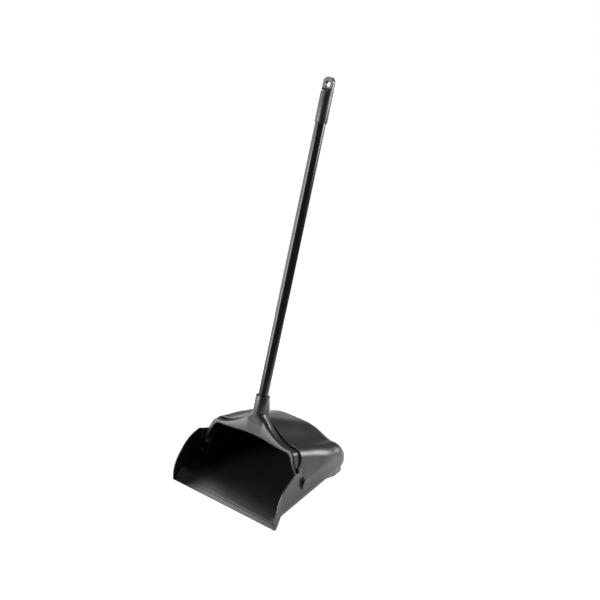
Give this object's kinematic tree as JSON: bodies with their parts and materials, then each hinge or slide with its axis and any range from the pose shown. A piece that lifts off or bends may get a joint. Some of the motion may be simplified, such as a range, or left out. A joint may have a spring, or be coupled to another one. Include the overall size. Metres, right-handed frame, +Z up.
{
  "type": "lobby dustpan",
  "caption": "Upright lobby dustpan: a hooded pan with a bevelled lip and rear wheels, carried by an arched yoke on side pivots, with a long straight handle, grip sleeve and hang hole.",
  "frame": {"origin": "on the floor, on the middle plane, right under the axis that the yoke swings on", "axes": "+X to the right seen from behind the lip, +Y from the lip to the rear, +Z up"},
  "size_m": [0.3286, 0.4285, 0.9421],
  "materials": {
    "pan_plastic": "satin black moulding",
    "yoke_plastic": "satin black moulding",
    "pin_plastic": "satin black moulding",
    "pad_plastic": "matte dark grey",
    "wheel_plastic": "matte dark grey",
    "plug_plastic": "matte",
    "grip_plastic": "satin black moulding",
    "handle_metal": "glossy black coating",
    "steel": "zinc plated"
  },
  "bodies": {
    "pan": {"pan_shell": "pan_plastic", "wear_pad_left": "pad_plastic", "wear_pad_right": "pad_plastic", "wheel_axle_left": "steel", "wheel_axle_right": "steel"},
    "left_wheel": {"wheel_left": "wheel_plastic"},
    "right_wheel": {"wheel_right": "wheel_plastic"},
    "yoke": {"yoke": "yoke_plastic", "pivot_pin_left": "pin_plastic", "pivot_pin_right": "pin_plastic", "pivot_clip_left": "steel", "pivot_clip_right": "steel", "handle_collar": "yoke_plastic", "handle_tube": "handle_metal", "tube_plug": "plug_plastic", "handle_screw": "steel", "grip_sleeve": "grip_plastic", "hang_cap": "grip_plastic"}
  },
  "joints": [
    {"name": "yoke_pivot", "type": "hinge", "parent": "pan", "child": "yoke", "pos_m": [0, 0, 0.061], "axis": [1, 0, 0], "range_deg": [0, 100]},
    {"name": "left_wheel_spin", "type": "hinge", "parent": "pan", "child": "left_wheel", "pos_m": [-0.116, 0.176, 0.0163], "axis": [1, 0, 0], "continuous": true},
    {"name": "right_wheel_spin", "type": "hinge", "parent": "pan", "child": "right_wheel", "pos_m": [0.116, 0.176, 0.0163], "axis": [1, 0, 0], "continuous": true}
  ]
}
